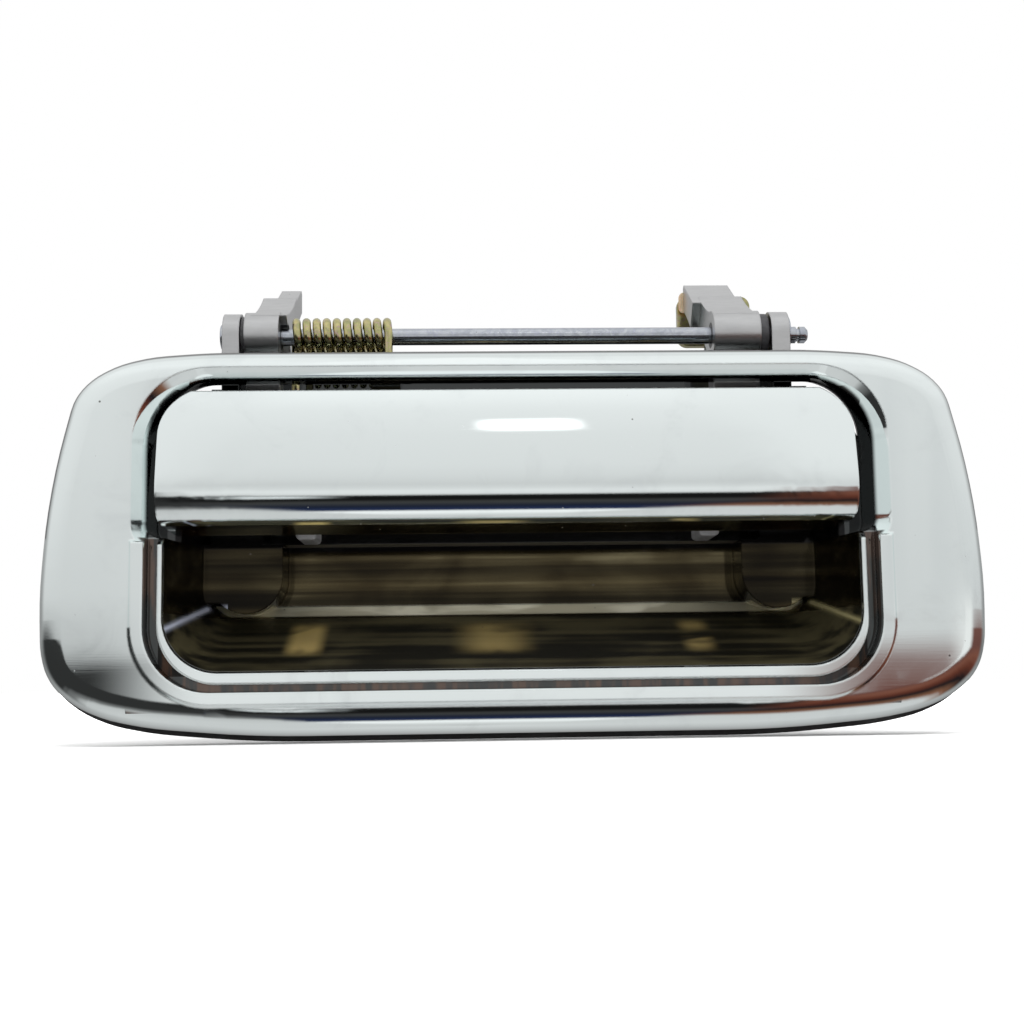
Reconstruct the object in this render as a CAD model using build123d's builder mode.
from build123d import *
from math import cos, radians, tan
import os

# Outside car door handle of the pull-up paddle kind, millimetres.
# X runs along the handle, +Y into the door, +Z up.  The visible face looks
# towards -Y.  The pieces are drawn about the middle of the bezel's rear rim,
# with Y = 0 the plane that meets the door skin, and written out about DATUM,
# the middle of the two fixing bosses in the plane of their rear faces.
# Spans along X are (left, right) pairs; profiles run along X are (y, z) lists.

os.makedirs("parts", exist_ok=True)

# --------------------------------------------------------- shared dimensions
# right half of the bezel outline: corner (x, z) and the radius that rounds it
OUTLINE = [
    ((61.39, 39.17), 165), ((73.62, 38.31), 36.5), ((80.2, 36.67), 21),
    ((85.02, 34.11), 14.5), ((89.01, 30.26), 11.4), ((92.31, 17.01), 132),
    ((94.24, 4.83), 132), ((95.28, -9.99), 101), ((94.89, -21.25), 20),
    ((93.8, -25.61), 11.4), ((91.75, -28.89), 11.4), ((87.63, -32.34), 17.9),
    ((81.89, -34.9), 28), ((73.23, -36.74), 68), ((51.99, -38.6), 230),
]

WALL = 2.5
OPEN_X = -0.5                   # middle of the paddle opening
BOWL_BACK_Y = 25.0              # front of the bowl's back wall
BACK_Y = BOWL_BACK_Y + WALL     # rear of the back wall

POST_X, POST_Z = 57.6, -5.3     # mounting posts, one each end of the bowl
BOSS_Y = 31.0                   # rear faces of the two mounting bosses
DATUM = Vector(0, BOSS_Y, POST_Z)

PIN_Y, PIN_Z = 10.0, 46.2       # hinge axis, parallel to X
PIN_AT = (PIN_Y, PIN_Z)
PIN_R = 1.8
PIN_CLEAR = 0.05
EAR_L = (-61.5, -57.9)          # hinge ears of the frame
EAR_R = (55.9, 59.8)

ARM_L = (-56.9, -49.6)          # arms of the paddle
ARM_R = (43.5, 53.6)
ARM_REAR_Y = 14.0
BUSH_R = 2.8                    # pivot bushes in the arms
BUSH_BORE_R = PIN_R + PIN_CLEAR
HORN_REAR_Y = 33.6
PAD_AT = (46.8, 60.4)           # (x, z) of the wear pad on the right horn

LEVER_Y, LEVER_Z = 36.0, 36.0   # lever axis, parallel to X
LEVER_AT = (LEVER_Y, LEVER_Z)
LEVER_PIN_R = 2.0
LEVER_BORE_R = LEVER_PIN_R + PIN_CLEAR
HUB_X = (48.2, 54.4)            # hub and strap of the release lever
EYE_Y, EYE_Z = 48.5, 34.5       # eye of the lever for the rod clip
EYE_AT = (EYE_Y, EYE_Z)

BRACKET_T = 1.6
BRACKET_X0, BRACKET_X1 = 42.6, 55.6     # left faces of the bracket's cheeks
SCREWS_AT = ((60.9, 9.5), (60.9, 24.0))     # bracket screws (x, z)
WASHER_T = 0.9
STOP_X_L, STOP_X_R = -44.8, 42.8
STOP_Z = 7.5


# ------------------------------------------------------------------- helpers
def at_x(x):
    """Sketch plane at x, facing +X."""
    return Plane.YZ.offset(x)


def at_y(y):
    """Sketch plane at y, facing -Y, so that negative extrusions go into the door."""
    return Plane.XZ.offset(-y)


def length(span):
    return span[1] - span[0]


def polygon(*points):
    """Face with straight sides, in the current sketch."""
    with BuildLine() as boundary:
        Polyline(*points, close=True)
    make_face(boundary.edges())


def disc(radius, *centres):
    with Locations(*centres):
        Circle(radius)


def ring(outer, inner, *centres):
    with Locations(*centres):
        Circle(outer)
        Circle(inner, mode=Mode.SUBTRACT)


def rounded(width, bottom, top, corner, mode=Mode.ADD):
    """Rounded rectangle centred on OPEN_X, from bottom to top in Z."""
    with Locations((OPEN_X, (bottom + top) / 2)):
        RectangleRounded(width, top - bottom, corner, mode=mode)


def panel(sketch, x, width, bottom, top, top_round, bottom_round):
    """Rectangle centred on x whose upper and lower corners are rounded differently."""
    with Locations((x, (bottom + top) / 2)):
        Rectangle(width, top - bottom)
    fillet(sketch.vertices().group_by(Axis.Y)[-1], top_round)
    fillet(sketch.vertices().group_by(Axis.Y)[0], bottom_round)


def cross(a, b):
    return a.X * b.Y - a.Y * b.X


def bezel_outline(inset=0.0, drop=0.0, mode=Mode.ADD):
    """Face bounded by the bezel outline, moved inward parallel to itself by
    inset and down by drop: straight runs joined by tangent arcs."""
    loop = OUTLINE + [((-x, z), radius) for (x, z), radius in reversed(OUTLINE)]
    count = len(loop)
    corners = [Vector(x, z) for (x, z), _ in loop]
    run = [(corners[(i + 1) % count] - corners[i]).normalized() for i in range(count)]
    # the loop runs clockwise, so inward is to the right of each run
    inward = [Vector(way.Y, -way.X) for way in run]
    arcs = []
    for i in range(count):
        before, after = run[i - 1], run[i]
        shift = (inward[i] - inward[i - 1]) * inset
        along = cross(shift, after) / cross(before, after)
        corner = corners[i] + inward[i - 1] * inset + before * along - Vector(0, drop)
        half = radians(before.get_angle(after)) / 2
        radius = loop[i][1] - inset
        reach = radius * tan(half)
        middle = corner + (after - before).normalized() * (radius / cos(half) - radius)
        arcs.append((corner - before * reach, middle, corner + after * reach))
    with BuildLine() as boundary:
        for i in range(count):
            Line(arcs[i - 1][2], arcs[i][0])
            ThreePointArc(*arcs[i])
    make_face(boundary.edges(), mode=mode)


def write(part, name):
    part.label = name
    export_step(part.translate(-DATUM), f"parts/{name}.step")


# --------------------------------------------------------------------- frame
# Die-cast frame: bezel, finger bowl, posts, hinge ears and mounting bosses.
BEZEL_DEPTH = 10.0      # how far the bezel stands off the door skin
BEZEL_ROLL = 5.6        # radius of its outer roll
RIM_WALL = 3.0          # wall of the hollow bezel
RIM_POCKET = 4.6        # depth of the hollow behind the bezel

OPEN_W = 146.4          # width of the opening at the paddle
OPEN_TOP = 32.7
OPEN_SILL = 1.0         # where the paddle opening ends and the bowl begins
OPEN_ROUNDS = (13, 2.5)     # upper and lower corners
OPEN_FRONT_Y, OPEN_REAR_Y = -20, 2
BEVEL = 2.8             # depth of the bevel round the paddle opening
BEVEL_OVERRUN = 0.4
BEVEL_TAPER = 44

# housing and the hollow inside it, each lofted from front to back
HOUSING_FRONT_Y = 3.2 - BEZEL_DEPTH
HOUSING_FRONT_WALL = 1.6    # above and below the opening
HOUSING_BACK_TOP = 14.0
HOUSING_BACK_EXTRA_W = 1
HOUSING_ROUNDS = (13, 7)    # front, back
BOWL_FRONT_Y = -BEZEL_DEPTH - 4
BOWL_W = 139.8          # mouth of the finger bowl
BOWL_EXTRA_W = 1.6      # widening of the loft where it starts, ahead of the bezel
BOWL_EXTRA_BELOW = 1.5
BOWL_TOP_DROP = 3       # top of the hollow's front below the opening's top
BOWL_BOTTOM = -26.9
BOWL_BACK_W = 129.6
BOWL_BACK_BOTTOM = -11.0
BOWL_HOLLOW_TOP = 15.0  # top of the hollow at the back wall
BOWL_ROUNDS = (12, 6)   # front, back

# bead, groove and lip follow the mouth of the bowl; their outlines would
# close above it, and are cut off near the sill
MOUTH_TOP = 20
MOUTH_ROUND = 13
GROOVE_TOP = OPEN_SILL + 1
GROOVE_W = 2.4
GROOVE_DEPTH = 3.4
GROOVE_MARGIN = 2.9     # from the bowl's bottom to the groove's outer edge
GROOVE_INNER_MARGIN = 1.2
GROOVE_INNER_ROUND = 11.6
LIP_DEPTH = 1.2         # how far the bowl's lip lies behind the bezel's face
LIP_OVERLAP = 0.1       # of the lip's cut into the groove
FACE_CUT = 10           # length of the cuts through the bezel's face
BEAD_TOP = OPEN_SILL - 0.2
BEAD_W = 3.3            # raised bead outside the groove
BEAD_H = 0.7
BEAD_ROOT = 0.5         # sunk into the bezel
BEAD_TAPER = 38
TRIM_W, TRIM_H = 170, 40

BOWL_BACK_TOP = 2.9     # the window starts above the bowl's back wall
WINDOW_W, WINDOW_TOP, WINDOW_LENGTH = 126, 45.1, 60
RELIEF_X = (-64, 63)
RELIEF = [(-3.2, 31.6), (0.0, 36.3), (3.0, 36.3), (3.0, 20), (-3.2, 20)]
WEB_Y = 26.0            # front of the thin web behind the paddle
WEB_W, WEB_TOP, WEB_ROUND = 122, 41.5, 4

POST_R = 7.8
POST_FRONT_Y = 15.0
POST_SHOULDER = OPEN_SILL + 1
FILL_X, FILL_W, FILL_BOTTOM = 62.05, 9.9, -10.8     # X from OPEN_X
COLUMN_W, COLUMN_TOP = 11.4, 36.0
TABS_AT = ((-45.2, 6.5), (42.6, 6.5))   # (x, z)
TAB_W, TAB_H = 10.4, 13.5
BOSSES_AT = ((-POST_X, POST_Z), (POST_X, POST_Z))
BOSS_R = 6.5
TAP_R = 2.5             # M6 x 1 tapped, minor diameter 5.0
TAP_DEPTH = 13.0
PILOT_R, PILOT_DEPTH = 1.65, 9.0
STOP_HOLE_R = 1.52
CUT_OVERRUN = 1         # how far a through cut runs past the metal

EAR_ROUND = 5.0
EAR_PROFILE = [
    (PIN_Y - EAR_ROUND, PIN_Z), (PIN_Y - EAR_ROUND + 0.6, 28.0), (16.0, 20.0), (22.0, 20.0),
    (22.0, 36.0), (PIN_Y + EAR_ROUND, 42.5), (PIN_Y + EAR_ROUND, PIN_Z),
]
REST_X = (-29.4, -23.4)
REST_PROFILE = [(-4.0, 34.5), (-0.9, 36.0), (5.7, 35.9), (5.7, 32.4), (-1.6, 31.2), (-4.0, 32.8)]


def mouth(width, margin, corner, mode=Mode.ADD):
    """Outline round the bowl's mouth, margin below its bottom."""
    rounded(width, BOWL_BOTTOM - margin, MOUTH_TOP + margin, corner, mode)


def trim_above(z):
    with Locations((OPEN_X, z + TRIM_H / 2)):
        Rectangle(TRIM_W, TRIM_H, mode=Mode.SUBTRACT)


with BuildPart() as frame:
    with BuildSketch(at_y(0)):
        bezel_outline()
    extrude(amount=BEZEL_DEPTH)
    fillet(frame.faces().sort_by(Axis.Y)[0].edges(), BEZEL_ROLL)

    # raised bead round the mouth of the bowl, ending at the sill
    with BuildSketch(at_y(BEAD_ROOT - BEZEL_DEPTH)):
        mouth(OPEN_W + 2 * BEAD_W, GROOVE_MARGIN + BEAD_W, MOUTH_ROUND + BEAD_W)
        trim_above(BEAD_TOP)
    extrude(amount=BEAD_H + BEAD_ROOT, taper=BEAD_TAPER)

    # hollow rear of the bezel
    with BuildSketch(at_y(0)):
        bezel_outline(RIM_WALL)
    extrude(amount=RIM_POCKET, mode=Mode.SUBTRACT)

    # outer skin of the housing behind the bezel, tapering to the back wall
    with BuildSketch(at_y(HOUSING_FRONT_Y)):
        rounded(OPEN_W + 2 * WALL, BOWL_BOTTOM - HOUSING_FRONT_WALL,
                OPEN_TOP + HOUSING_FRONT_WALL, HOUSING_ROUNDS[0])
    with BuildSketch(at_y(BACK_Y)):
        rounded(BOWL_BACK_W + 2 * WALL + HOUSING_BACK_EXTRA_W, BOWL_BACK_BOTTOM - WALL,
                HOUSING_BACK_TOP + WALL, HOUSING_ROUNDS[1])
    loft()

    # inside of the bowl and of the paddle cavity
    with BuildSketch(at_y(BOWL_FRONT_Y)):
        rounded(BOWL_W + BOWL_EXTRA_W, BOWL_BOTTOM - BOWL_EXTRA_BELOW,
                OPEN_TOP - BOWL_TOP_DROP, BOWL_ROUNDS[0])
    with BuildSketch(at_y(BOWL_BACK_Y)):
        rounded(BOWL_BACK_W, BOWL_BACK_BOTTOM, BOWL_HOLLOW_TOP, BOWL_ROUNDS[1])
    loft(mode=Mode.SUBTRACT)

    # paddle opening, a little wider than the bowl, with large upper corners
    with BuildSketch(at_y(OPEN_FRONT_Y)) as opening:
        panel(opening, OPEN_X, OPEN_W, OPEN_SILL, OPEN_TOP, *OPEN_ROUNDS)
    extrude(amount=OPEN_FRONT_Y - OPEN_REAR_Y, mode=Mode.SUBTRACT)

    # bevel round the paddle opening, so that the paddle's edge clears it
    with BuildSketch(at_y(BEVEL - BEZEL_DEPTH)) as bevel:
        panel(bevel, OPEN_X, OPEN_W, OPEN_SILL, OPEN_TOP, *OPEN_ROUNDS)
    extrude(amount=BEVEL + BEVEL_OVERRUN, taper=-BEVEL_TAPER, mode=Mode.SUBTRACT)

    # window behind the paddle for the arms to pass through
    with BuildSketch(at_y(0)):
        with Locations((OPEN_X, (BOWL_BACK_TOP + WINDOW_TOP) / 2)):
            Rectangle(WINDOW_W, WINDOW_TOP - BOWL_BACK_TOP)
    extrude(amount=-WINDOW_LENGTH, mode=Mode.SUBTRACT)

    # rear of the top rim is relieved so that the arms clear it when they swing
    with BuildSketch(at_x(RELIEF_X[0])):
        polygon(*RELIEF)
    extrude(amount=length(RELIEF_X), mode=Mode.SUBTRACT)

    # groove that follows the mouth of the bowl, and the lower lip inside it
    with BuildSketch(at_y(GROOVE_DEPTH - BEZEL_DEPTH)):
        mouth(OPEN_W, GROOVE_MARGIN, MOUTH_ROUND)
        mouth(OPEN_W - 2 * GROOVE_W, GROOVE_INNER_MARGIN, GROOVE_INNER_ROUND, Mode.SUBTRACT)
        trim_above(GROOVE_TOP)
    extrude(amount=FACE_CUT, mode=Mode.SUBTRACT)
    with BuildSketch(at_y(LIP_DEPTH - BEZEL_DEPTH)):
        mouth(OPEN_W - 2 * GROOVE_W + 2 * LIP_OVERLAP, GROOVE_INNER_MARGIN + LIP_OVERLAP,
              GROOVE_INNER_ROUND + LIP_OVERLAP)
        trim_above(GROOVE_TOP)
    extrude(amount=FACE_CUT, mode=Mode.SUBTRACT)

    # web that closes the housing behind the paddle
    with BuildSketch(at_y(WEB_Y)) as web:
        with Locations((OPEN_X, WEB_TOP / 2)):
            Rectangle(WEB_W, WEB_TOP)
        fillet(web.vertices().group_by(Axis.Y)[-1], WEB_ROUND)
    extrude(amount=WEB_Y - BACK_Y)

    # posts: U-shaped bulges at each end of the bowl, carried up to the ears
    with BuildSketch(at_y(POST_FRONT_Y)):
        for side in (-1, 1):
            disc(POST_R, (side * POST_X, POST_Z))
            with Locations((side * POST_X, (POST_Z + POST_SHOULDER) / 2)):
                Rectangle(2 * POST_R, POST_SHOULDER - POST_Z)
            # filled out to the side wall of the bowl
            with Locations((OPEN_X + side * FILL_X, (POST_SHOULDER + FILL_BOTTOM) / 2)):
                Rectangle(FILL_W, POST_SHOULDER - FILL_BOTTOM)
            # column, flush with the post's outer side
            with Locations((side * (POST_X + POST_R - COLUMN_W / 2),
                            (POST_Z + COLUMN_TOP) / 2)):
                Rectangle(COLUMN_W, COLUMN_TOP - POST_Z)
    extrude(amount=POST_FRONT_Y - BACK_Y)
    # tabs that extend the back wall upward round the bump stops
    with BuildSketch(at_y(BOWL_BACK_Y)):
        with Locations(*TABS_AT):
            Rectangle(TAB_W, TAB_H)
    extrude(amount=-WALL)
    # mounting bosses
    with BuildSketch(at_y(BOWL_BACK_Y)):
        disc(BOSS_R, *BOSSES_AT)
    extrude(amount=BOWL_BACK_Y - BOSS_Y)
    # hinge ears, standing on the posts
    for ear in (EAR_L, EAR_R):
        with BuildSketch(at_x(ear[0])):
            disc(EAR_ROUND, PIN_AT)
            polygon(*EAR_PROFILE)
        extrude(amount=length(ear))
    # rest for the fixed leg of the return spring
    with BuildSketch(at_x(REST_X[0])):
        polygon(*REST_PROFILE)
    extrude(amount=length(REST_X))

    # hinge pin holes
    with BuildSketch(at_x(EAR_L[0] - CUT_OVERRUN)):
        disc(PIN_R + PIN_CLEAR, PIN_AT)
    extrude(amount=EAR_R[1] - EAR_L[0] + 2 * CUT_OVERRUN, mode=Mode.SUBTRACT)
    # tapped mounting holes
    with BuildSketch(at_y(BOSS_Y)):
        disc(TAP_R, *BOSSES_AT)
    extrude(amount=TAP_DEPTH, mode=Mode.SUBTRACT)
    # pilot holes for the two bracket screws
    with BuildSketch(at_y(BACK_Y)):
        disc(PILOT_R, *SCREWS_AT)
    extrude(amount=PILOT_DEPTH, mode=Mode.SUBTRACT)
    # holes for the bump stops
    with BuildSketch(at_y(BACK_Y)):
        disc(STOP_HOLE_R, (STOP_X_L, STOP_Z), (STOP_X_R, STOP_Z))
    extrude(amount=WALL + CUT_OVERRUN, mode=Mode.SUBTRACT)
write(frame.part, "frame")

# -------------------------------------------------------------------- gasket
# Moulded rubber gasket between the bezel's rear rim and the door skin.
GASKET_T = 1.5
GASKET_OVERHANG = 0.6       # beyond the bezel outline
GASKET_DROP = 0.6           # how far its outer edge is shifted down
GASKET_INNER = 2.5          # insets from the bezel outline
SEAL_OUTER, SEAL_INNER = 0.7, 1.7
SEAL_H = 0.5

with BuildPart() as gasket:
    with BuildSketch(at_y(0)):
        bezel_outline(-GASKET_OVERHANG, drop=GASKET_DROP)
        bezel_outline(GASKET_INNER, mode=Mode.SUBTRACT)
    extrude(amount=-GASKET_T)
    # raised sealing bead on the door side
    with BuildSketch(at_y(GASKET_T)):
        bezel_outline(SEAL_OUTER)
        bezel_outline(SEAL_INNER, mode=Mode.SUBTRACT)
    extrude(amount=-SEAL_H)
write(gasket.part, "gasket")

# -------------------------------------------------------------------- paddle
# Pull-up paddle: shell with a rolled lower edge and a finger lip, two arms
# with hinge bosses, and two horns that work the latch side.
PADDLE_X = (-71.0, 68.1)
PADDLE_TOP = 30.5
PADDLE_UNDER = 2.6
PADDLE_WALL = 2.4           # end walls
PADDLE_MARGIN = 1           # of the front outline above and below the shell
PADDLE_ROUNDS = (10.5, 3.5)     # upper and lower corners
TRIM_REAR_Y, TRIM_LENGTH = 20, 60
LIP_REAR_Y = 1.7
# curve of the visible face, top to bottom, then the straight back to its start
SHELL_FRONT = [(-8.6, 30.5), (-10.1, 26.4), (-11.6, 20.6), (-12.8, 14.4),
               (-13.3, 10.2), (-12.9, 7.2), (-11.5, 4.7), (-9.2, 3.1)]
SHELL_BACK = [(LIP_REAR_Y, PADDLE_UNDER - 0.2), (LIP_REAR_Y, PADDLE_UNDER + 1.8), (-6.7, 29.9)]
HOLLOW = [(-7.0, 28.6), (-8.4, 24.0), (-9.6, 18.0), (-10.5, 12.5), (-10.5, 8.6),
          (-8.6, 5.6), (-5.6, 5.0), (6.0, 4.6), (6.0, 29.0)]
ARM_FRONT_Y = 8.0
ARM_BOSS_R = 5.3
ARM_PROFILE = [
    (ARM_FRONT_Y, PIN_Z), (ARM_FRONT_Y, 22.6), (-7.6, 27.6), (-9.4, 20.0), (-10.6, 13.0),
    (-9.0, 8.0), (-2.0, 8.0), (4.0, 9.0), (ARM_REAR_Y, 16.0), (ARM_REAR_Y, PIN_Z),
]
FOOT_L = (ARM_L[0], -42.4)
FOOT_R = (40.4, ARM_R[1])
FOOT_PROFILE = [(5.0, 9.0), (ARM_REAR_Y, 8.0), (ARM_REAR_Y, 20.0), (9.0, 21.0), (5.0, 16.0)]
# span of the root, span of the tip, top of the tip
HORNS = [((-55.6, -48.1), (-52.6, -48.1), 63.2), ((43.5, 53.4), (41.6, 52.0), 64.2)]
HORN_UPPER = [(6.5, 50.2), (12.0, 52.2), (17.0, 54.6), (24.0, 59.0)]
HORN_LOWER = [(26.5, 54.0), (21.0, 49.2), (14.4, 43.4)]
TIP_START = (20.5, 56.6)
TIP_CREST_Y = 32.6
TIP_CREST_DROP = 0.6        # from the crest to the rear face
TIP_LOWER = [(HORN_REAR_Y, 58.2), (29.4, 55.6), (24.4, 51.8)]
CATCH_X, CATCH_REAR_Y, CATCH_Z, CATCH_H = -53.0, 16.6, 28.0, 6.0
CATCH_STEPS = [(3.6, 4.0), (7.8, 2.3)]      # length along X, thickness along Y
PEG_HOLE_R, PEG_HOLE_DEPTH = 1.22, 2.4

with BuildPart() as paddle:
    # cross-section of the shell, run along X
    with BuildSketch(at_x(PADDLE_X[0])):
        with BuildLine():
            Spline(*SHELL_FRONT)
            Polyline(SHELL_FRONT[-1], *SHELL_BACK, SHELL_FRONT[0])
        make_face()
    extrude(amount=length(PADDLE_X))
    # the hollow behind it, leaving end walls
    with BuildSketch(at_x(PADDLE_X[0] + PADDLE_WALL)):
        polygon(*HOLLOW)
    extrude(amount=length(PADDLE_X) - 2 * PADDLE_WALL, mode=Mode.SUBTRACT)
    # front outline with its large upper corners
    with BuildSketch(at_y(TRIM_REAR_Y)) as face:
        panel(face, sum(PADDLE_X) / 2, length(PADDLE_X), PADDLE_UNDER - PADDLE_MARGIN,
              PADDLE_TOP + PADDLE_MARGIN, *PADDLE_ROUNDS)
    extrude(amount=TRIM_LENGTH, mode=Mode.INTERSECT)

    # arms: down behind the top rim, then forward into the shell
    for arm, foot in ((ARM_L, FOOT_L), (ARM_R, FOOT_R)):
        with BuildSketch(at_x(arm[0])):
            polygon(*ARM_PROFILE)
            disc(ARM_BOSS_R, PIN_AT)
        extrude(amount=length(arm))
        # foot that rests on the bump stop
        with BuildSketch(at_x(foot[0])):
            polygon(*FOOT_PROFILE)
        extrude(amount=length(foot))

    # horns, rising behind the hinge
    for root, tip, top in HORNS:
        with BuildSketch(at_x(root[0])):
            with BuildLine():
                Spline(*HORN_UPPER)
                Line(HORN_UPPER[-1], HORN_LOWER[0])
                Spline(*HORN_LOWER)
                Line(HORN_LOWER[-1], HORN_UPPER[0])
            make_face()
        extrude(amount=length(root))
        with BuildSketch(at_x(tip[0])):
            with BuildLine():
                Polyline(TIP_START, (TIP_CREST_Y, top), (HORN_REAR_Y, top - TIP_CREST_DROP),
                         TIP_LOWER[0])
                Spline(*TIP_LOWER)
                Line(TIP_LOWER[-1], TIP_START)
            make_face()
        extrude(amount=length(tip))

    # catch for the moving leg of the return spring
    for catch_length, thickness in CATCH_STEPS:
        with BuildSketch(at_x(CATCH_X)):
            with Locations((CATCH_REAR_Y - thickness / 2, CATCH_Z)):
                Rectangle(thickness, CATCH_H)
        extrude(amount=catch_length)
    # blind hole for the wear pad's peg
    with BuildSketch(at_y(HORN_REAR_Y)):
        disc(PEG_HOLE_R, PAD_AT)
    extrude(amount=PEG_HOLE_DEPTH, mode=Mode.SUBTRACT)

    # bores for the pivot bushes
    with BuildSketch(at_x(ARM_L[0] - CUT_OVERRUN)):
        disc(BUSH_R, PIN_AT)
    extrude(amount=ARM_R[1] - ARM_L[0] + 2 * CUT_OVERRUN, mode=Mode.SUBTRACT)
write(paddle.part, "paddle")

# ----------------------------------------------------------------- hinge pin
PIN_END_X = 64.6
PIN_CHAMFER = 0.6
PIN_HEAD_R, PIN_HEAD_T, PIN_HEAD_ROUND = 2.9, 0.9, 0.5
PIN_GROOVE_X = PIN_END_X - 2.6
PIN_GROOVE_W, PIN_GROOVE_DEPTH = 0.8, 0.4

with BuildPart() as hinge_pin:
    with BuildSketch(at_x(EAR_L[0])):
        disc(PIN_R, PIN_AT)
    extrude(amount=PIN_END_X - EAR_L[0])
    chamfer(hinge_pin.faces().sort_by(Axis.X)[-1].edges(), PIN_CHAMFER)
    # pressed head against the left ear
    with BuildSketch(at_x(EAR_L[0])):
        disc(PIN_HEAD_R, PIN_AT)
    extrude(amount=-PIN_HEAD_T)
    fillet(hinge_pin.faces().sort_by(Axis.X)[0].edges(), PIN_HEAD_ROUND)
    # groove near the free end
    with BuildSketch(at_x(PIN_GROOVE_X)):
        ring(PIN_R + 1, PIN_R - PIN_GROOVE_DEPTH, PIN_AT)
    extrude(amount=PIN_GROOVE_W, mode=Mode.SUBTRACT)
write(hinge_pin.part, "hinge_pin")

# push-on retainer that grips the pin outside the right ear
RETAINER_R, RETAINER_T = 3.9, 0.5
RETAINER_GAP = 0.05         # from the ear
RETAINER_BORE_R = PIN_R + 0.02
NOTCH_COUNT = 6
NOTCH_AT_R = PIN_R + 0.7
NOTCH_SIZE = (1.0, 0.35)    # radial, across

with BuildPart() as pin_retainer:
    with BuildSketch(at_x(EAR_R[1] + RETAINER_GAP)):
        ring(RETAINER_R, RETAINER_BORE_R, PIN_AT)
        with Locations(PIN_AT):
            with PolarLocations(NOTCH_AT_R, NOTCH_COUNT):
                Rectangle(*NOTCH_SIZE, mode=Mode.SUBTRACT)
    extrude(amount=RETAINER_T)
write(pin_retainer.part, "pin_retainer")

# -------------------------------------------------------------- pivot bushes
BUSH_FIT = 0.01


def pivot_bush(arm, flange_x, flange_r, flange_length, flange_round=0.0):
    """Bush through an arm; its flange runs from flange_x by flange_length."""
    with BuildPart() as bush:
        with BuildSketch(at_x(arm[0])):
            ring(BUSH_R - BUSH_FIT, BUSH_BORE_R, PIN_AT)
        extrude(amount=length(arm))
        with BuildSketch(at_x(flange_x)):
            ring(flange_r, BUSH_BORE_R, PIN_AT)
        extrude(amount=flange_length)
        if flange_round:
            outer_face = bush.faces().sort_by(Axis.X)[-1]
            fillet(outer_face.edges().sort_by(SortBy.RADIUS)[-1], flange_round)
    return bush.part


write(pivot_bush(ARM_L, ARM_L[0], flange_r=4.4, flange_length=-0.85), "pivot_bush_left")
write(pivot_bush(ARM_R, ARM_R[1], flange_r=4.6, flange_length=2.0, flange_round=0.5),
      "pivot_bush_right")

# ------------------------------------------------------------- return spring
# Torsion spring round the pin.  One leg presses the catch on the left arm,
# the other bears on the rest behind the top rim.
SPRING_WIRE_R = 0.9
SPRING_MEAN_R = 3.25
SPRING_TURNS = 9.5
SPRING_PITCH = 2.16
SPRING_X0 = -46.9           # centre of the wire at the left end
MOVING_LEG, FIXED_LEG = 21.5, 13.5
DOWN = (0, 0, -1)

# turned so that the coil starts behind the pin and ends in front of it
coil = Helix(pitch=SPRING_PITCH, height=SPRING_PITCH * SPRING_TURNS, radius=SPRING_MEAN_R,
             center=(SPRING_X0, *PIN_AT), direction=(1, 0, 0))
coil = coil.rotate(Axis((0, *PIN_AT), (1, 0, 0)), -90)
with BuildPart() as return_spring:
    with BuildLine():
        add(coil)
    with BuildSketch(Plane(origin=coil @ 0, z_dir=coil % 0)):
        Circle(SPRING_WIRE_R)
    sweep(is_frenet=True)
    # moving leg, down behind the pin to the catch on the arm
    with BuildSketch(Plane(origin=coil @ 0, z_dir=DOWN)):
        Circle(SPRING_WIRE_R)
    extrude(amount=MOVING_LEG)
    # fixed leg, down in front of the pin to the rest on the frame
    with BuildSketch(Plane(origin=coil @ 1, z_dir=DOWN)):
        Circle(SPRING_WIRE_R)
    extrude(amount=FIXED_LEG)
write(return_spring.part, "return_spring")

# ---------------------------------------------------------------- bump stops
# Rubber buffers on the back wall that the paddle's feet rest on.
STOP_W, STOP_H, STOP_ROUND = 4.4, 9.4, 1.0
STOP_FRONT_Y = ARM_REAR_Y + 0.1
STOP_CHAMFER = 0.6
STOP_PEG_R = 1.5
STOP_HEAD_R, STOP_HEAD_T, STOP_HEAD_TAPER = 2.3, 1.6, 18


def bump_stop(x):
    with BuildPart() as stop:
        with BuildSketch(at_y(STOP_FRONT_Y)):
            with Locations((x, STOP_Z)):
                RectangleRounded(STOP_W, STOP_H, STOP_ROUND)
        extrude(amount=STOP_FRONT_Y - BOWL_BACK_Y)
        chamfer(stop.faces().sort_by(Axis.Y)[0].edges(), STOP_CHAMFER)
        # peg through the wall, and its tapered head behind
        with BuildSketch(at_y(BOWL_BACK_Y)):
            disc(STOP_PEG_R, (x, STOP_Z))
        extrude(amount=-WALL)
        with BuildSketch(at_y(BACK_Y)):
            disc(STOP_HEAD_R, (x, STOP_Z))
        extrude(amount=-STOP_HEAD_T, taper=STOP_HEAD_TAPER)
    return stop.part


write(bump_stop(STOP_X_L), "bump_stop_left")
write(bump_stop(STOP_X_R), "bump_stop_right")

# ------------------------------------------------------------- horn wear pad
# Nylon pad on the rear of the right horn, where it pushes the lever.
PAD_W, PAD_H, PAD_CORNER = 12.4, 4.8, 1.2
PAD_T, PAD_ROUND = 1.3, 0.5
PEG_R, PEG_LENGTH = 1.2, 2.2

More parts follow.
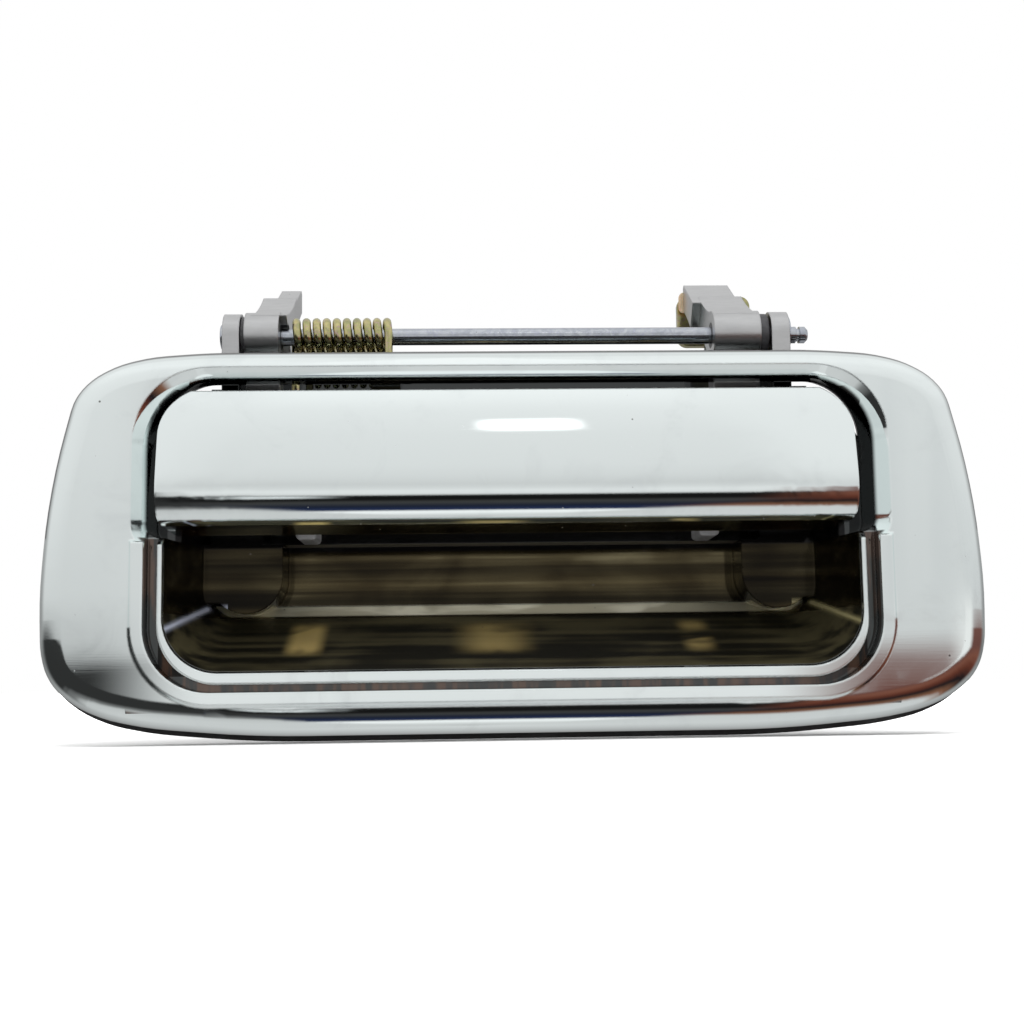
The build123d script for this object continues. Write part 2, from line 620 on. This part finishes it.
with BuildPart() as horn_pad:
    with BuildSketch(at_y(HORN_REAR_Y)):
        with Locations(PAD_AT):
            RectangleRounded(PAD_W, PAD_H, PAD_CORNER)
    extrude(amount=-PAD_T)
    fillet(horn_pad.faces().sort_by(Axis.Y)[-1].edges(), PAD_ROUND)
    with BuildSketch(at_y(HORN_REAR_Y)):
        disc(PEG_R, PAD_AT)
    extrude(amount=PEG_LENGTH)
write(horn_pad.part, "horn_pad")

# ------------------------------------------------------------- lever bracket
# Pressed steel bracket on the right post, carrying the release lever.
BASE_OUTLINE = [(BRACKET_X0, 16.0), (54.6, 16.0), (54.6, 4.5), (65.0, 4.5), (65.0, 33.0),
                (BRACKET_X1, 33.0), (BRACKET_X0, 33.0)]     # (x, z)
BASE_ROUND = 3.0
BRACKET_HOLE_R = 2.1
CHEEK_R = 4.6               # round the lever pin
CHEEK_PROFILE = [
    (BACK_Y, 20.0), (BACK_Y + 4, 20.0), (LEVER_Y + 4.0, 31.0), (LEVER_Y + CHEEK_R, LEVER_Z),
    (LEVER_Y, LEVER_Z + CHEEK_R), (BACK_Y, 33.0),
]

with BuildPart() as lever_bracket:
    with BuildSketch(at_y(BACK_Y)) as base:
        polygon(*BASE_OUTLINE)
        fillet(base.vertices().sort_by(Axis.X)[-2:], BASE_ROUND)
        with Locations(*SCREWS_AT):
            Circle(BRACKET_HOLE_R, mode=Mode.SUBTRACT)
    extrude(amount=-BRACKET_T)
    for x in (BRACKET_X0, BRACKET_X1):
        with BuildSketch(at_x(x)):
            polygon(*CHEEK_PROFILE)
            ring(CHEEK_R, LEVER_BORE_R, LEVER_AT)
        extrude(amount=BRACKET_T)
write(lever_bracket.part, "lever_bracket")

# bracket screws, two pan heads with cross recesses
HEAD_SEAT_Y = BACK_Y + BRACKET_T + WASHER_T
HEAD_R, HEAD_H, HEAD_ROUND = 3.4, 2.3, 1.2
SHANK_R = 1.6
SHANK_FRONT_Y = BACK_Y - 7.5
SHANK_REAR_Y = HEAD_SEAT_Y + 0.3    # just inside the head
RECESS_Y = HEAD_SEAT_Y + HEAD_H + 0.1   # just behind the head
RECESS_LENGTH, RECESS_W, RECESS_CUT = 3.6, 0.8, 1.5

with BuildPart() as bracket_screws:
    with BuildSketch(at_y(HEAD_SEAT_Y)):
        disc(HEAD_R, *SCREWS_AT)
    extrude(amount=-HEAD_H)
    fillet(bracket_screws.faces().group_by(Axis.Y)[-1].edges(), HEAD_ROUND)
    with BuildSketch(at_y(SHANK_FRONT_Y)):
        disc(SHANK_R, *SCREWS_AT)
    extrude(amount=SHANK_FRONT_Y - SHANK_REAR_Y)
    with BuildSketch(at_y(RECESS_Y)):
        with Locations(*SCREWS_AT):
            Rectangle(RECESS_LENGTH, RECESS_W)
            Rectangle(RECESS_W, RECESS_LENGTH)
    extrude(amount=RECESS_CUT, mode=Mode.SUBTRACT)
write(bracket_screws.part, "bracket_screws")

# split spring washers under the screw heads
WASHER_R, WASHER_BORE_R = 3.5, 2.1
SPLIT_OFFSET, SPLIT_LENGTH, SPLIT_W, SPLIT_ANGLE = 2.8, 2.6, 0.4, 30

with BuildPart() as lock_washers:
    with BuildSketch(at_y(BACK_Y + BRACKET_T)):
        ring(WASHER_R, WASHER_BORE_R, *SCREWS_AT)
        with Locations(*[(x + SPLIT_OFFSET, z) for x, z in SCREWS_AT]):
            Rectangle(SPLIT_LENGTH, SPLIT_W, rotation=SPLIT_ANGLE, mode=Mode.SUBTRACT)
    extrude(amount=-WASHER_T)
write(lock_washers.part, "lock_washers")

# ------------------------------------------------------------- release lever
LEVER_FRONT_Y, LEVER_T = 35.4, 2.0
PLATE_X = (40.4, 57.7)      # plate behind the right horn
PLATE_Z, PLATE_H, PLATE_ROUND = 56.3, 12.0, 2.4
STRAP_Z, STRAP_H = 44.0, 16.0
HUB_R, HUB_BORE_R = 4.2, 2.6
ROD_ARM_X, ROD_ARM_T, ROD_ARM_R = 50.0, 2.5, 4.0
EYE_R = 2.5
BORE_X = (40, 60)

with BuildPart() as release_lever:
    # plate behind the right horn, and the strap down to the hub
    with BuildSketch(at_y(LEVER_FRONT_Y)) as strap:
        with Locations((sum(PLATE_X) / 2, PLATE_Z)):
            Rectangle(length(PLATE_X), PLATE_H)
        fillet(strap.vertices(), PLATE_ROUND)
        with Locations((sum(HUB_X) / 2, STRAP_Z)):
            Rectangle(length(HUB_X), STRAP_H)
    extrude(amount=-LEVER_T)
    with BuildSketch(at_x(HUB_X[0])):
        disc(HUB_R, LEVER_AT)
    extrude(amount=length(HUB_X))
    # output arm with the eye for the rod clip
    with BuildSketch(at_x(ROD_ARM_X)):
        polygon((LEVER_Y, LEVER_Z + ROD_ARM_R), (EYE_Y, EYE_Z + ROD_ARM_R),
                (EYE_Y, EYE_Z - ROD_ARM_R), (LEVER_Y, LEVER_Z - ROD_ARM_R))
        disc(ROD_ARM_R, EYE_AT)
    extrude(amount=ROD_ARM_T)
    with BuildSketch(at_x(BORE_X[0])):
        disc(EYE_R, EYE_AT)
        disc(HUB_BORE_R, LEVER_AT)
    extrude(amount=length(BORE_X), mode=Mode.SUBTRACT)
write(release_lever.part, "release_lever")

# two nylon bushes in the lever's hub, the right one flanged
LEVER_BUSHES_X = ((44.5, 51.2), (51.3, HUB_X[1]))
LEVER_BUSH_R = 2.59
LEVER_FLANGE_R, LEVER_FLANGE_T = 3.9, 1.0

with BuildPart() as lever_bushes:
    for span in LEVER_BUSHES_X:
        with BuildSketch(at_x(span[0])):
            ring(LEVER_BUSH_R, LEVER_BORE_R, LEVER_AT)
        extrude(amount=length(span))
    with BuildSketch(at_x(HUB_X[1])):
        ring(LEVER_FLANGE_R, LEVER_BORE_R, LEVER_AT)
    extrude(amount=LEVER_FLANGE_T)
write(lever_bushes.part, "lever_bushes")

# headed pin that carries the lever, riveted at its far end
CHEEKS_X = (BRACKET_X0, BRACKET_X1 + BRACKET_T)     # outer faces of the cheeks
LEVER_PIN_OVERRUN = 0.1     # of the shank into each head
LEVER_HEAD_GAP = 0.05
LEVER_HEAD_R, LEVER_HEAD_T, LEVER_HEAD_ROUND = 3.4, 1.1, 0.5

with BuildPart() as lever_pin:
    with BuildSketch(at_x(CHEEKS_X[0] - LEVER_PIN_OVERRUN)):
        disc(LEVER_PIN_R, LEVER_AT)
    extrude(amount=length(CHEEKS_X) + 2 * LEVER_PIN_OVERRUN)
    for x, side in zip(CHEEKS_X, (-1, 1)):
        with BuildSketch(at_x(x + side * LEVER_HEAD_GAP)):
            disc(LEVER_HEAD_R, LEVER_AT)
        extrude(amount=side * LEVER_HEAD_T)
    for end in (0, -1):
        rims = lever_pin.edges().filter_by(GeomType.CIRCLE).group_by(Axis.X)[end]
        fillet(rims, LEVER_HEAD_ROUND)
write(lever_pin.part, "lever_pin")

# light torsion spring that keeps the lever against the horn
LEVER_WIRE_R = 0.4
LEVER_COIL_X, LEVER_COIL_R = 45.2, 3.5
LEVER_COIL_PITCH, LEVER_COIL_TURNS = 1.0, 2.25
FRONT_LEG, UPPER_LEG = 6.0, 18.0
UPPER_LEG_WAY = (0, -0.085, 1)

# turned so that the coil starts below the lever pin
lever_coil = Helix(pitch=LEVER_COIL_PITCH, height=LEVER_COIL_PITCH * LEVER_COIL_TURNS,
                   radius=LEVER_COIL_R, center=(LEVER_COIL_X, *LEVER_AT), direction=(1, 0, 0))
lever_coil = lever_coil.rotate(Axis((0, *LEVER_AT), (1, 0, 0)), 180)
with BuildPart() as lever_spring:
    with BuildLine():
        add(lever_coil)
    with BuildSketch(Plane(origin=lever_coil @ 0, z_dir=lever_coil % 0)):
        Circle(LEVER_WIRE_R)
    sweep(is_frenet=True)
    with BuildSketch(Plane(origin=lever_coil @ 0, z_dir=(0, -1, 0))):
        Circle(LEVER_WIRE_R)
    extrude(amount=FRONT_LEG)
    with BuildSketch(Plane(origin=lever_coil @ 1, z_dir=UPPER_LEG_WAY)):
        Circle(LEVER_WIRE_R)
    extrude(amount=UPPER_LEG)
write(lever_spring.part, "lever_spring")

# ------------------------------------------------------------------ rod clip
# Nylon clip snapped into the lever's eye, to take the latch rod.
CLIP_X = (49.2, 53.8)       # sleeve through the eye
CLIP_R, CLIP_BORE_R = 2.45, 1.8
CLIP_PLATE_X = (52.6, CLIP_X[1])
CLIP_PLATE_R, CLIP_PLATE_W = 3.5, 4.4
CLIP_PLATE_BELOW, CLIP_PLATE_ABOVE = 3.4, 9.0   # the eye
HOOK_RISE, HOOK_H, HOOK_LENGTH = 7.2, 3.6, 3.0
HOOK_BORE_R, HOOK_BORE_RISE = 1.3, 0.2
BARB_R, BARB_T = 2.9, 0.7
BARB_SLOT = (1.2, 7)

with BuildPart() as rod_clip:
    with BuildSketch(at_x(CLIP_X[0])):
        ring(CLIP_R, CLIP_BORE_R, EYE_AT)
    extrude(amount=length(CLIP_X))
    with BuildSketch(at_x(CLIP_PLATE_X[0])):
        front, rear = EYE_Y - CLIP_PLATE_W / 2, EYE_Y + CLIP_PLATE_W / 2
        bottom, top = EYE_Z - CLIP_PLATE_BELOW, EYE_Z + CLIP_PLATE_ABOVE
        polygon((front, bottom), (rear, bottom), (rear, top), (front, top))
        ring(CLIP_PLATE_R, CLIP_BORE_R, EYE_AT)
    extrude(amount=length(CLIP_PLATE_X))
    # hook that closes over the rod
    with BuildSketch(at_x(CLIP_X[1])):
        with Locations((EYE_Y, EYE_Z + HOOK_RISE)):
            Rectangle(CLIP_PLATE_W, HOOK_H)
            with Locations((0, HOOK_BORE_RISE)):
                Circle(HOOK_BORE_R, mode=Mode.SUBTRACT)
    extrude(amount=HOOK_LENGTH)
    # retaining barbs on the left side of the eye
    with BuildSketch(at_x(CLIP_X[0])):
        ring(BARB_R, CLIP_BORE_R, EYE_AT)
        with Locations(EYE_AT):
            Rectangle(*BARB_SLOT, mode=Mode.SUBTRACT)
    extrude(amount=BARB_T)
write(rod_clip.part, "rod_clip")
